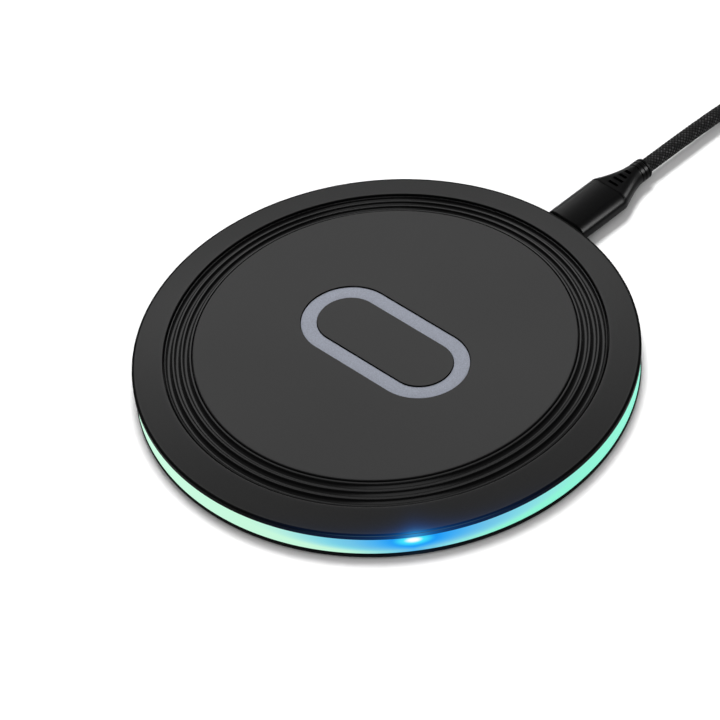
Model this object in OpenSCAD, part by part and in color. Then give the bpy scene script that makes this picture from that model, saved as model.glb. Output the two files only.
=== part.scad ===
// Round wireless charging pad with a light band, and its plug-in USB cable.
// Origin: centre of the pad, on the table. +Z up, +Y out of the USB port, X across.
// Millimetres.

/* [Pad] */
// Outer diameter of the cover
pad_d = 100; // [92:1:125]
// Width of the sloping rim
rim_w = 6.25; // [5:0.05:8]
// Width of the ribbed band between rim and disc
band_w = 5.9; // [5:0.1:7]
// Height of the dark base under the light band
base_h = 1.4; // [1.2:0.1:2.4]
// Height of the light band
light_h = 4.3; // [4:0.1:5.5]
// Height of the cover's side wall
lip_h = 0.8; // [0.6:0.1:1.4]
// Rise of the rim from its outer edge to its inner edge
rim_rise = 1.5; // [1.4:0.1:2.2]
// Rise of the disc above the rim's inner edge
disc_rise = 0.9; // [0.6:0.1:1.5]
// How far the foot ring stands out below the case
foot_proud = 0.6; // [0.4:0.1:1]

/* [Cover and case] */
// Wall over the coil
disc_wall = 1.2; // [1:0.1:1.6]
// Wall under the ribbed band
seat_wall = 1; // [0.8:0.1:1.2]
// Wall of the case above the foot groove
floor_wall = 1; // [0.9:0.1:1.2]
// Rounding of the cover's edges
edge_r = 0.5; // [0.3:0.1:0.6]
// Rounding under the base's outer edge
base_round = 1; // [0.5:0.1:1.1]
// Step in from the cover to the base
base_step = 0.15; // [0:0.05:0.5]
// Height of the ribs that centre the light ring
centring_h = 0.4; // [0.3:0.1:0.5]
// Width of the ribs that centre the light ring
centring_w = 1; // [0.8:0.1:1.5]
// Width of the foot ring
foot_w = 6; // [4:0.5:8]
// Land between the disc's well and the screw bosses
boss_land = 0.95; // [0.5:0.05:1.2]

/* [Light ring] */
// Radial width of the light guide
guide_w = 4.3; // [3.5:0.1:5]
// Step in from the cover to the light guide
guide_step = 0.3; // [0.1:0.1:0.6]
// Direction of the status light, from +X
led_angle = -39; // [-80:1:0]

/* [Grips] */
// Number of channels in the ribbed ring
channel_count = 3; // [2:1:4]
// Width of each rib's top
rib_w = 0.45; // [0.3:0.05:0.6]
// Depth of the channels
channel_depth = 0.55; // [0.3:0.05:0.6]
// Depth of the outermost rib below the rim
rib_sink = 0.35; // [0.2:0.05:0.4]
// Length of the oval grip
oval_l = 38.4; // [30:0.2:46]
// Width of the oval grip
oval_w = 19; // [16:0.5:24]
// Width of the oval grip's band
oval_band = 3.1; // [2:0.1:4]
// Depth of the groove for the oval grip
oval_groove = 0.6; // [0.4:0.1:0.7]
// How far the oval grip lies below the disc's face
oval_sink = 0.2; // [0.1:0.05:0.3]
// Turn of the oval from square to the port
oval_turn = 2; // [-5:1:5]

/* [Electronics] */
// Thickness of the circuit board
board_t = 0.8; // [0.6:0.1:1.2]
// Height of the bosses under the circuit board
board_rise = 0.7; // [0.5:0.1:1]
// How far the ferrite plate stands out past the coil
ferrite_margin = 3; // [2:0.5:4]
// Thickness of the ferrite plate
ferrite_t = 1; // [0.6:0.1:1.2]
// Diameter of the coil's litz wire
litz_d = 1.4; // [1:0.1:1.6]
// Diameter of the hole in the coil
coil_hole_d = 21; // [17:1:26]
// Turns of the transmit coil
coil_turns = 11; // [8:1:12]
// Thickness of the adhesive disc above the coil
tape_t = 0.3; // [0.2:0.1:0.4]

/* [USB-C port and plug] */
// Inside width of the port
port_w = 8.44; // [8.36:0.02:8.5]
// Inside height of the port
port_h = 2.66; // [2.58:0.02:2.7]
// Sheet thickness of the port
port_wall = 0.3; // [0.2:0.05:0.35]
// Width of the plug's metal shell
plug_w = 8.25; // [8.2:0.01:8.3]
// Height of the plug's metal shell
plug_h = 2.4; // [2.36:0.01:2.44]
// How far the plug goes into the port
plug_reach = 6.65; // [6.2:0.05:6.7]
// Width of the plug's grip
grip_w = 10; // [9.6:0.1:12]
// Height of the plug's grip
grip_h = 5; // [4.6:0.1:6]
// Length of the plug's grip
grip_l = 13; // [10:0.5:20]
// Length of the strain relief
boot_l = 10.5; // [8:0.5:16]
// Diameter of the strain relief's end
boot_d = 4.5; // [4.2:0.1:5]
// Gap between the plug's grip and the pad
plug_gap = 1; // [0.8:0.1:2]

/* [Cable] */
// Diameter of the braided cable
cable_d = 3.2; // [3:0.1:3.4]
// Middle radius of the coil's outermost turn
wound_outer_r = 25.2; // [24:0.1:26]
// Middle radius of the coil's innermost turn
wound_inner_r = 13; // [12:0.1:14]
// Thickness of the straps round the wound cable
strap_t = 0.6; // [0.4:0.1:0.8]
// Width of the straps, as an angle round the coil
strap_angle = 26; // [16:1:40]

/* [USB-A plug] */
// Width of the moulded grip
usb_a_w = 15.6; // [14:0.1:17]
// Height of the moulded grip
usb_a_h = 8; // [7:0.1:9]
// Length of the moulded grip
usb_a_l = 26; // [20:1:32]
// Length of the metal shell outside the grip
usb_a_reach = 12; // [11.5:0.1:12]

/* [Hidden] */

$fn = 96;
eps = 0.01;
fit_gap = 0.15;      // between parts that drop into each other
slip_gap = 0.2;      // round the light ring
bite = 0.1;          // how deep a screw cuts into its boss

// Heights, from the table up
case_z = foot_proud;
seam_z = case_z + base_h;
lip_z = seam_z + light_h;
edge_z = lip_z + lip_h;
rim_z = edge_z + rim_rise;
disc_z = rim_z + disc_rise;
seat_z = lip_z + seat_wall;
disc_under_z = disc_z - disc_wall;
groove_top_z = seam_z - floor_wall;
board_z = seam_z + board_rise;
board_top_z = board_z + board_t;

// Radii, from the outside in
pad_r = pad_d / 2;
guide_r = pad_r - guide_step;
guide_in_r = guide_r - guide_w;
centring_r = guide_in_r - slip_gap;
board_r = centring_r - slip_gap;
rim_in_r = pad_r - rim_w;
disc_r = rim_in_r - band_w;
well_r = disc_r - disc_wall;

// Screws, on a circle under the ribbed band, in the middle of the foot ring
screw_angles = [45, 135, 225, 315];
shank_r = 1;
shank_gap = 0.1;
head_r = 1.7;
head_h = 0.8;
cross_w = 0.4;
cross_l = 2;
screw_spare = 0.3;   // hole left above the screw's tip
screw_top_z = lip_z - screw_spare;
boss_r = 2.4;
case_boss_r = 3.2;
board_gap = 0.05;
screw_circle_r = well_r + boss_land + boss_r;
foot_in_r = screw_circle_r - foot_w / 2;
foot_out_r = screw_circle_r + foot_w / 2;

// USB-C port
port_z = seam_z + light_h / 2;
port_setback = 0.3;  // from the light ring's face to the port's mouth
port_spare = 0.5;    // room past the plug's tip
port_base_l = 1.2;
port_front_y = guide_r - port_setback;
plug_face_y = pad_r + plug_gap;
plug_tip_y = plug_face_y - plug_reach;
port_base_y = plug_tip_y - port_spare;
port_back_y = port_base_y - port_base_l;
port_out_w = port_w + 2 * port_wall;
port_out_h = port_h + 2 * port_wall;
tongue_w = 6.7;
tongue_h = 0.7;
tongue_gap = 0.1;
tongue_reach = 3.9;  // into the plug
tongue_spare = 1;    // room past the tongue's tip
tongue_tip_y = plug_tip_y + tongue_reach;
tab_l = 1.2;
tab_w = 1.4;
pin_count = 12;
pin_pitch = 0.5;
pin_w = 0.25;
pin_t = 0.04;
pin_land = 0.3;      // bare tongue at each end of the pins
plug_wall = 0.3;
plug_in_w = plug_w - 2 * plug_wall;
plug_in_h = plug_h - 2 * plug_wall;
plug_buried = 2.5;
grip_r = 2.1;
grip_end_y = plug_face_y + grip_l;
boot_end_y = grip_end_y + boot_l;
boot_straight = 3;

// Parts on the board, [across, along, height], each at an angle between the ferrite and the rim
controller_size = [5, 5, 0.9];
transistor_size = [3.3, 3.3, 0.8];
capacitor_size = [3.2, 2.5, 1.8];
inductor_size = [5, 5, 1.4];
crystal_size = [2.5, 3.2, 0.7];
led_size = [1.2, 3, 1];
sensor_size = [1.6, 0.8, 0.5];
inductor_core_d = 3.6;
inductor_core_h = 0.5;
controller_angle = 165;
transistor_angles = [188, 196, 204, 212];
capacitor_angles = [-15, -8, -1, 6];
inductor_angle = 70;
crystal_angle = 148;
sensor_angle = 122;
led_setback = 0.15;

// Coil, and the stack that holds it under the disc
turn_pitch = litz_d * cos(30);
coil_r = coil_hole_d / 2 + litz_d + (coil_turns - 1) * turn_pitch;
ferrite_r = coil_r + ferrite_margin;
coil_top_z = disc_under_z - tape_t;
ferrite_top_z = coil_top_z - litz_d;
ferrite_z = ferrite_top_z - ferrite_t;
foam_margin = 2;     // ferrite past the foam
lead_wire_d = 1;
lead_angle = 5;
parts_r = (ferrite_r + centring_r - centring_w) / 2;

// The cable as it lies: hand-chosen points, [x, y, z]
tube_sides = 8;
lead_points = [[0, 74.5, 4.15], [0, 78, 4.15], [0, 82, 4.1], [0, 86, 4.05], [0, 90, 3.95],
    [0, 94, 3.8], [0, 98, 3.55], [0, 102, 3.2], [0, 106, 2.75], [0, 110, 2.3], [0, 114, 1.9],
    [0, 118, 1.7], [0, 122, 1.75], [0, 126, 2]];
tail_points = [[50.4, 126, 5.4], [50.4, 122, 5.2], [50.4, 118, 4.6], [50.4, 114, 4.1], [50.4, 110, 4]];
wound_x = 25.2;
wound_y = 130;
wound_layers = 2;
wound_in = wound_inner_r - cable_d / 2;
wound_out = wound_outer_r + cable_d / 2;
wound_h = wound_layers * cable_d;

// USB-A plug, pointing along -Y
usb_a_x = 50.4;
usb_a_z = usb_a_h / 2;
usb_a_boot_end_y = 110;
usb_a_boot_l = 9;
usb_a_grip_y = usb_a_boot_end_y - usb_a_boot_l - usb_a_l;
usb_a_shell_w = 12;
usb_a_shell_h = 4.5;
usb_a_sheet = 0.3;
usb_a_buried = 6;
usb_a_boot_d = 4.8;
usb_a_boot_w = 8;
usb_a_boot_h = 5.6;
usb_a_tongue_w = 11;
usb_a_tongue_h = 1.9;
usb_a_tongue_back = 0.6;
usb_a_low_z = usb_a_z - usb_a_shell_h / 2 + usb_a_sheet;
usb_a_tip_y = usb_a_grip_y - usb_a_reach;
latch_w = 2.2;
latch_pitch = 4.6;
usb_a_pins = [-3.5, -1, 1, 3.5];
usb_a_pin_size = [1, 8, 0.15];
usb_a_pin_back = 1;

function unit(v) = v / norm(v);
function arc(c, r, from, to, n = 8) =
    [for (i = [0:n]) c + r * [cos(from + (to - from) * i / n), sin(from + (to - from) * i / n)]];

// Ring of corners round point i of a path that is never upright
function heading(path, i) = unit(path[min(i + 1, len(path) - 1)] - path[max(i - 1, 0)]);
function corners(path, i, r) =
    let(t = heading(path, i), side = unit(cross(t, [0, 0, 1])), up = cross(side, t))
    [for (k = [0:tube_sides - 1])
        let(a = 360 * (k + 0.5) / tube_sides) path[i] + r * (cos(a) * side + sin(a) * up)];

module tube(path, d) {
    n = tube_sides;
    last = (len(path) - 1) * n;
    points = [for (i = [0:len(path) - 1]) each corners(path, i, d / 2)];
    sides = [for (i = [0:len(path) - 2], k = [0:n - 1])
        [i * n + k, (i + 1) * n + k, (i + 1) * n + (k + 1) % n, i * n + (k + 1) % n]];
    first_cap = [for (k = [0:n - 1]) k];
    last_cap = [for (k = [n - 1:-1:0]) last + k];
    polyhedron(points = points, faces = concat(sides, [first_cap], [last_cap]));
}

module tube_ring(outer, inner, h) {
    difference() {
        cylinder(r = outer, h = h);
        translate([0, 0, -1]) cylinder(r = inner, h = h + 2);
    }
}

module rounded_rect(w, h, r) {
    square([w - 2 * r, h], center = true);
    square([w, h - 2 * r], center = true);
    for (x = [-1, 1], y = [-1, 1])
        translate([x * (w / 2 - r), y * (h / 2 - r)]) circle(r = r, $fn = 48);
}

module slot_shape(w, h) {
    square([w - h, h], center = true);
    for (x = [-1, 1]) translate([x * (w - h) / 2, 0]) circle(d = h, $fn = 48);
}

// Stands a flat outline up and runs it along +Y from y
module along_y(x, y, z, l) {
    translate([x, y + l, z]) rotate([90, 0, 0]) linear_extrude(l) children();
}

module at_polar(r, angle, z) {
    rotate([0, 0, angle]) translate([r, 0, z]) children();
}

// The cover: rim, recessed seat for the ribbed ring, and raised disc
module cover_outline() {
    slope = atan2(rim_rise, rim_w);
    polygon(concat(
        [[0, disc_under_z], [well_r, disc_under_z], [well_r, lip_z],
            [centring_r - centring_w, lip_z], [centring_r - centring_w, lip_z - centring_h],
            [centring_r, lip_z - centring_h], [centring_r, lip_z]],
        arc([pad_r - edge_r / 2, lip_z + edge_r / 2], edge_r / 2, -90, 0, 4),
        arc([pad_r - edge_r, edge_z - edge_r / 2], edge_r, 0, 90 - slope, 6),
        arc([rim_in_r + edge_r, rim_z - edge_r], edge_r, 90 - slope, 180, 6),
        [[rim_in_r, seat_z], [disc_r, seat_z]],
        arc([disc_r - edge_r, disc_z - edge_r], edge_r, 0, 90, 6),
        [[0, disc_z]]));
}

module cover_bosses() {
    for (a = screw_angles) at_polar(screw_circle_r, a, board_top_z + board_gap) difference() {
        cylinder(r = boss_r, h = lip_z - board_top_z - board_gap + eps);
        translate([0, 0, -1]) cylinder(r = shank_r - bite, h = lip_z - board_top_z + 2, $fn = 48);
    }
}

module oval_ring(grow) {
    difference() {
        slot_shape(oval_l + 2 * grow, oval_w + 2 * grow);
        slot_shape(oval_l - 2 * oval_band - 2 * grow, oval_w - 2 * oval_band - 2 * grow);
    }
}

module top_cover() color([0.24, 0.24, 0.25]) {
    difference() {
        rotate_extrude() cover_outline();
        rotate([0, 0, oval_turn]) translate([0, 0, disc_z - oval_groove])
            linear_extrude(oval_groove + 1) oval_ring(fit_gap);
    }
    cover_bosses();
}

// Ribs and round-bottomed channels that rise towards the disc
module ribbed_outline() {
    outer = rim_in_r - fit_gap;
    inner = disc_r + fit_gap;
    outer_z = rim_z - rib_sink;
    inner_z = disc_z - rib_sink / 2;
    pitch = (outer - inner - rib_w) / channel_count;
    half = (pitch - rib_w) / 2;
    function rib_top(r) = outer_z + (inner_z - outer_z) * (outer - r) / (outer - inner);
    polygon(concat(
        [[inner, seat_z], [inner, rib_top(inner)]],
        [for (i = [0:channel_count - 1], a = [180:30:360])
            let(r = inner + rib_w + half + i * pitch + half * cos(a))
                [r, rib_top(r) + channel_depth * sin(a)]],
        [[outer, rib_top(outer)], [outer, seat_z]]));
}

module ribbed_ring() color([0.16, 0.16, 0.17]) rotate_extrude() ribbed_outline();

module oval_grip() color([0.6, 0.61, 0.66])
    rotate([0, 0, oval_turn]) translate([0, 0, disc_z - oval_groove])
        linear_extrude(oval_groove - oval_sink) oval_ring(0);

// A clear ring with a window for the port
module light_ring() color([0.6, 0.95, 0.85]) difference() {
    translate([0, 0, seam_z]) tube_ring(guide_r, guide_in_r, light_h);
    along_y(0, guide_in_r - 2, port_z, guide_w + 4)
        slot_shape(port_out_w + 2 * fit_gap, port_out_h + 2 * fit_gap);
}

module case_outline() {
    base_r = pad_r - base_step;
    polygon(concat(
        [[0, case_z]],
        arc([base_r - base_round, case_z + base_round], base_round, -90, 0, 6),
        [[base_r, seam_z], [centring_r, seam_z], [centring_r, seam_z + centring_h],
            [centring_r - centring_w, seam_z + centring_h], [centring_r - centring_w, seam_z],
            [0, seam_z]]));
}

module foot_groove() {
    translate([0, 0, case_z - 1])
        tube_ring(foot_out_r + fit_gap, foot_in_r - fit_gap, groove_top_z - case_z + 1);
}

module bottom_case() color([0.05, 0.05, 0.055]) difference() {
    union() {
        rotate_extrude() case_outline();
        for (a = screw_angles) at_polar(screw_circle_r, a, seam_z - eps)
            cylinder(r = case_boss_r, h = board_rise + eps);
    }
    foot_groove();
    for (a = screw_angles) {
        at_polar(screw_circle_r, a, case_z - 1)
            cylinder(r = head_r + fit_gap, h = groove_top_z - case_z + 1 + head_h + fit_gap, $fn = 48);
        at_polar(screw_circle_r, a, case_z)
            cylinder(r = shank_r + shank_gap, h = base_h + board_rise + 1, $fn = 48);
    }
}

module foot_ring() color([0.1, 0.1, 0.1])
    tube_ring(foot_out_r, foot_in_r, groove_top_z);

module case_screws() color([0.6, 0.6, 0.62]) {
    head_z = groove_top_z + fit_gap;
    for (a = screw_angles) at_polar(screw_circle_r, a, head_z) difference() {
        union() {
            cylinder(r = head_r, h = head_h, $fn = 48);
            cylinder(r = shank_r, h = screw_top_z - head_z, $fn = 48);
        }
        translate([0, 0, -eps]) {
            translate([-cross_l / 2, -cross_w / 2, 0]) cube([cross_l, cross_w, head_h / 2]);
            translate([-cross_w / 2, -cross_l / 2, 0]) cube([cross_w, cross_l, head_h / 2]);
        }
    }
}

module circuit_board() color([0.05, 0.3, 0.15]) difference() {
    translate([0, 0, board_z]) cylinder(r = board_r, h = board_t);
    for (a = screw_angles) at_polar(screw_circle_r, a, board_z - 1)
        cylinder(r = shank_r + shank_gap, h = board_t + 2, $fn = 48);
    translate([-port_out_w / 2 - fit_gap, port_back_y - fit_gap, board_z - 1])
        cube([port_out_w + 2 * fit_gap, board_r, board_t + 2]);
}

// Folded steel shell, closed at the back, with tabs soldered to the board
module port_shell() color([0.75, 0.75, 0.77]) {
    difference() {
        along_y(0, port_back_y, port_z, port_front_y - port_back_y) slot_shape(port_out_w, port_out_h);
        along_y(0, port_back_y + port_wall, port_z, port_front_y) slot_shape(port_w, port_h);
    }
    for (s = [-1, 1]) translate([s * (port_out_w + tab_l) / 2 - tab_l / 2 - s * eps,
            port_back_y + port_wall, board_top_z]) cube([tab_l, tab_w, port_wall]);
}

module port_tongue() color([0.08, 0.08, 0.09]) {
    along_y(0, port_back_y + port_wall, port_z, port_base_y - port_back_y - port_wall)
        slot_shape(port_w, port_h);
    along_y(0, port_base_y - eps, port_z, tongue_tip_y - port_base_y + eps)
        square([tongue_w, tongue_h], center = true);
}

module port_contacts() color([0.85, 0.68, 0.3])
    for (i = [0:pin_count - 1], z = [tongue_h / 2, -tongue_h / 2 - pin_t])
        translate([(i - (pin_count - 1) / 2) * pin_pitch - pin_w / 2, port_base_y + pin_land, port_z + z])
            cube([pin_w, tongue_tip_y - port_base_y - 2 * pin_land, pin_t]);

module chip(size, r, angle) {
    at_polar(r, angle, board_top_z) translate([-size[0] / 2, -size[1] / 2, 0]) cube(size);
}

module controller_chip() color([0.06, 0.06, 0.07]) chip(controller_size, parts_r, controller_angle);

module bridge_transistors() color([0.08, 0.08, 0.09])
    for (a = transistor_angles) chip(transistor_size, parts_r, a);

module resonant_capacitors() color([0.72, 0.6, 0.42])
    for (a = capacitor_angles) chip(capacitor_size, parts_r, a);

module supply_inductor() color([0.2, 0.2, 0.21]) {
    chip(inductor_size, parts_r, inductor_angle);
    at_polar(parts_r, inductor_angle, board_top_z + inductor_size[2] - eps)
        cylinder(d = inductor_core_d, h = inductor_core_h, $fn = 48);
}

module crystal() color([0.78, 0.78, 0.8]) chip(crystal_size, parts_r, crystal_angle);

module status_leds() color([0.95, 0.98, 1])
    for (a = [led_angle, led_angle + 180]) chip(led_size, board_r - led_setback - led_size[0] / 2, a);

module temperature_sensor() color([0.15, 0.13, 0.12]) chip(sensor_size, parts_r, sensor_angle);

module foam_spacer() color([0.3, 0.3, 0.32])
    translate([0, 0, board_top_z]) cylinder(r = ferrite_r - foam_margin, h = ferrite_z - board_top_z);

module ferrite_plate() color([0.22, 0.2, 0.19])
    translate([0, 0, ferrite_z]) cylinder(r = ferrite_r, h = ferrite_t);

// A flat coil in section: round turns that touch
module winding_outline() {
    r = litz_d / 2;
    function turn(i, a) = [coil_hole_d / 2 + r + i * turn_pitch + r * cos(a), r * sin(a)];
    top = [for (i = [0:coil_turns - 1], a = [150:-30:30]) turn(i, a)];
    bottom = [for (i = [coil_turns - 1:-1:0], a = [-30:-30:-150]) turn(i, a)];
    polygon(concat(top, bottom));
}

module transmit_coil() color([0.72, 0.42, 0.2])
    translate([0, 0, ferrite_top_z + litz_d / 2]) rotate_extrude() winding_outline();

// The two ends of the winding go over the ferrite plate's edge and down to the board
module coil_leads() color([0.72, 0.42, 0.2]) {
    drop_r = ferrite_r + lead_wire_d;
    wire_z = ferrite_top_z + lead_wire_d / 2;
    for (s = [-1, 1]) rotate([0, 0, s * lead_angle]) {
        translate([coil_r, 0, wire_z]) rotate([0, 90, 0])
            cylinder(d = lead_wire_d, h = drop_r - coil_r, $fn = 32);
        translate([drop_r, 0, wire_z]) sphere(d = lead_wire_d, $fn = 32);
        translate([drop_r, 0, board_top_z]) cylinder(d = lead_wire_d, h = wire_z - board_top_z, $fn = 32);
    }
}

module coil_tape() color([0.85, 0.8, 0.55]) translate([0, 0, coil_top_z]) cylinder(r = coil_r, h = tape_t);

// USB-C plug
module plug_shell() color([0.78, 0.78, 0.8]) difference() {
    along_y(0, plug_tip_y, port_z, plug_reach + plug_buried) slot_shape(plug_w, plug_h);
    along_y(0, plug_tip_y - 1, port_z, plug_reach + plug_buried + 2) slot_shape(plug_in_w, plug_in_h);
}

module plug_insert() color([0.07, 0.07, 0.08]) difference() {
    along_y(0, plug_tip_y + fit_gap, port_z, plug_reach + plug_buried - fit_gap)
        slot_shape(plug_in_w, plug_in_h);
    along_y(0, plug_tip_y - 1, port_z, tongue_reach + tongue_spare + 1)
        square([tongue_w + 2 * tongue_gap, tongue_h + 2 * tongue_gap], center = true);
}

module plug_grip() color([0.04, 0.04, 0.045]) difference() {
    along_y(0, plug_face_y, port_z, grip_l) rounded_rect(grip_w, grip_h, grip_r);
    along_y(0, plug_face_y - 1, port_z, plug_buried + 1) slot_shape(plug_w, plug_h);
}

module plug_boot() color([0.045, 0.045, 0.05]) {
    hull() {
        along_y(0, grip_end_y, port_z, 0.1) rounded_rect(grip_w, grip_h, grip_r);
        along_y(0, boot_end_y - boot_straight - 0.1, port_z, 0.1) circle(d = boot_d, $fn = 32);
    }
    along_y(0, boot_end_y - boot_straight - eps, port_z, boot_straight + eps) circle(d = boot_d, $fn = 32);
}

module cable_lead() color([0.06, 0.06, 0.065]) tube(lead_points, cable_d);

module wound_outline(in, out, low, high) {
    r = cable_d / 2;
    translate([(in + out) / 2, (low + high) / 2]) rounded_rect(out - in, high - low, r);
}

module cable_coil() color([0.06, 0.06, 0.065])
    translate([wound_x, wound_y, 0]) rotate_extrude()
        wound_outline(wound_in, wound_out, strap_t, strap_t + wound_h);

module coil_straps() color([0.12, 0.12, 0.13])
    for (a = [90, 270]) translate([wound_x, wound_y, 0]) rotate([0, 0, a - strap_angle / 2])
        rotate_extrude(angle = strap_angle) difference() {
            wound_outline(wound_in - strap_t, wound_out + strap_t, 0, wound_h + 2 * strap_t);
            wound_outline(wound_in, wound_out, strap_t, strap_t + wound_h);
        }

module cable_tail() color([0.06, 0.06, 0.065]) tube(tail_points, cable_d);

// USB-A plug
module usb_a_boot() color([0.045, 0.045, 0.05]) hull() {
    along_y(usb_a_x, usb_a_boot_end_y - usb_a_boot_l, usb_a_z, 0.1)
        rounded_rect(usb_a_boot_w, usb_a_boot_h, grip_r);
    along_y(usb_a_x, usb_a_boot_end_y - 0.1, usb_a_z, 0.1) circle(d = usb_a_boot_d, $fn = 32);
}

module usb_a_grip() color([0.04, 0.04, 0.045]) difference() {
    along_y(usb_a_x, usb_a_grip_y, usb_a_z, usb_a_l) rounded_rect(usb_a_w, usb_a_h, grip_r);
    along_y(usb_a_x, usb_a_grip_y - 1, usb_a_z, usb_a_buried + 1)
        square([usb_a_shell_w, usb_a_shell_h], center = true);
}

module usb_a_shell() color([0.78, 0.78, 0.8]) {
    l = usb_a_reach + usb_a_buried;
    difference() {
        along_y(usb_a_x, usb_a_tip_y, usb_a_z, l) square([usb_a_shell_w, usb_a_shell_h], center = true);
        along_y(usb_a_x, usb_a_tip_y - 1, usb_a_z, l + 2)
            square([usb_a_shell_w - 2 * usb_a_sheet, usb_a_shell_h - 2 * usb_a_sheet], center = true);
        for (s = [-1, 1])
            translate([usb_a_x + s * latch_pitch / 2, usb_a_tip_y + usb_a_reach / 2, usb_a_z])
            cube([latch_w, latch_w, 2 * usb_a_h], center = true);
    }
}

// The tongue lies against the shell's lower wall, with its contacts on top
module usb_a_tongue() color([0.1, 0.1, 0.11])
    translate([usb_a_x - usb_a_tongue_w / 2, usb_a_tip_y + usb_a_tongue_back, usb_a_low_z])
        cube([usb_a_tongue_w, usb_a_reach + usb_a_buried - usb_a_tongue_back, usb_a_tongue_h]);

module usb_a_contacts() color([0.85, 0.68, 0.3])
    for (x = usb_a_pins)
        translate([usb_a_x + x - usb_a_pin_size[0] / 2, usb_a_tip_y + usb_a_tongue_back + usb_a_pin_back,
            usb_a_low_z + usb_a_tongue_h]) cube(usb_a_pin_size);

top_cover();
ribbed_ring();
oval_grip();
light_ring();
bottom_case();
foot_ring();
case_screws();
circuit_board();
port_shell();
port_tongue();
port_contacts();
controller_chip();
bridge_transistors();
resonant_capacitors();
supply_inductor();
crystal();
status_leds();
temperature_sensor();
foam_spacer();
ferrite_plate();
transmit_coil();
coil_leads();
coil_tape();
plug_shell();
plug_insert();
plug_grip();
plug_boot();
cable_lead();
cable_coil();
coil_straps();
cable_tail();
usb_a_boot();
usb_a_grip();
usb_a_shell();
usb_a_tongue();
usb_a_contacts();
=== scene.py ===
import math

import bmesh
import bpy
from mathutils import Matrix, Vector


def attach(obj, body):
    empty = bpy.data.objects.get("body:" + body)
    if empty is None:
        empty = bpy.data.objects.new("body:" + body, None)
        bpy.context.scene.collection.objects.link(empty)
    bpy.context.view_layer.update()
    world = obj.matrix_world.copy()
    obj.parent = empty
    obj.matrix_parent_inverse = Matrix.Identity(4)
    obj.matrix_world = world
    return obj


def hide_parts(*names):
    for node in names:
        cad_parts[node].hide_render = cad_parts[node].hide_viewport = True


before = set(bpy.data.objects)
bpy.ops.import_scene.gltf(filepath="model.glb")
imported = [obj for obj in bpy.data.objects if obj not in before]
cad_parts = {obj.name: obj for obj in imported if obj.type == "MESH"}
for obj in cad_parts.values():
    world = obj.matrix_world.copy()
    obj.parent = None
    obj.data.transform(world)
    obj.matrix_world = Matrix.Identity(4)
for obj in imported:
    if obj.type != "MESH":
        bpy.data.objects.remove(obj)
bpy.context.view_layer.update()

MM = 0.001
TURN = 2 * math.pi

# Heights and radii of the pad, in millimetres, as its CAD nodes have them
PAD_R = 50.0
RIM_IN_R = 43.75
DISC_R = 37.85
WELL_R = 36.65
GUIDE_R = 49.7
GUIDE_IN_R = 45.4
CENTRING_R = 45.2
CASE_R = 49.85
CASE_Z = 0.6
SEAM_Z = 2.0
LIP_Z = 6.3
EDGE_Z = 7.1
SEAT_Z = 7.3
UNDER_Z = 8.3
RIM_Z = 8.6
DISC_Z = 9.5
BASE_ROUND = 1.0
LAMP_TURN = -39.0
PORT_Z = 4.15

# The oval grip and the groove it lies in
OVAL_L = 38.4
OVAL_W = 19
OVAL_BAND = 3.1
OVAL_GAP = 0.3
OVAL_TURN = 2.0
OVAL_FLOOR_Z = DISC_Z - 0.6
OVAL_TOP_Z = DISC_Z - 0.26


# Camera, lights and floor

def place_camera():
    """Looks down on the pad from the front right with a long lens, a little rolled."""
    forward = Vector((-0.54630, 0.46494, -0.69670)).normalized()
    level = forward.cross(Vector((0, 0, 1))).normalized()
    roll = math.radians(6.066)
    up = level.cross(forward) * math.cos(roll) + level * math.sin(roll)
    across = forward.cross(up)
    data = bpy.data.cameras.new("camera")
    data.lens = 210.6
    data.sensor_width = 36
    data.clip_start = 0.05
    data.clip_end = 20
    camera = bpy.data.objects.new("camera", data)
    turned_frame = Matrix((across, up, -forward)).transposed().to_4x4()
    turned_frame.translation = Vector((0.44782, -0.38796, 0.58052))
    camera.matrix_world = turned_frame
    bpy.context.scene.collection.objects.link(camera)
    bpy.context.scene.camera = camera


def softbox(name, at, aim, size, power):
    """A square area light at a place, facing a point."""
    data = bpy.data.lights.new(name, "AREA")
    data.shape = "RECTANGLE"
    data.size = size[0]
    data.size_y = size[1]
    data.energy = power
    light = bpy.data.objects.new(name, data)
    away = Vector(at) - Vector(aim)
    light.matrix_world = Matrix.Translation(at) @ away.to_track_quat("Z", "Y").to_matrix().to_4x4()
    bpy.context.scene.collection.objects.link(light)
    return light


def shine_on(source, state, *pieces):
    """Keeps a light to some pieces (INCLUDE), or off them (EXCLUDE)."""
    group_of = bpy.data.collections.new(source.name + "_falls_on")
    for piece in pieces:
        group_of.objects.link(piece)
    for member in group_of.collection_objects:
        member.light_linking.link_state = state
    source.light_linking.receiver_collection = group_of


def light_the_room(strength, low_strength):
    """A white room that is darker low down behind the camera."""
    world = bpy.data.worlds.new("white_room")
    world.use_nodes = True
    tree = world.node_tree
    way = add(tree, "SeparateXYZ", {"Vector": add(tree, "TexCoord").outputs["Generated"]}).outputs
    back = sums(tree, "ADD", sums(tree, "MULTIPLY", way["X"], -0.755),
                sums(tree, "MULTIPLY", way["Y"], 0.656))
    height = sums(tree, "ADD", way["Z"], sums(tree, "MULTIPLY", back, 0.45))
    feed(tree, tree.nodes["Background"].inputs["Strength"],
         fitted(tree, height, 0.05, 0.5, low_strength, strength, smooth=True))
    tree.nodes["Background"].inputs["Color"].default_value = (1, 1, 1, 1)
    bpy.context.scene.world = world
    bpy.context.scene.view_settings.view_transform = "Standard"


# Modelling helpers

def deselect():
    bpy.ops.object.select_all(action="DESELECT")


def only(piece):
    """Makes one piece the selected and active one."""
    deselect()
    piece.select_set(True)
    bpy.context.view_layer.objects.active = piece


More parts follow.
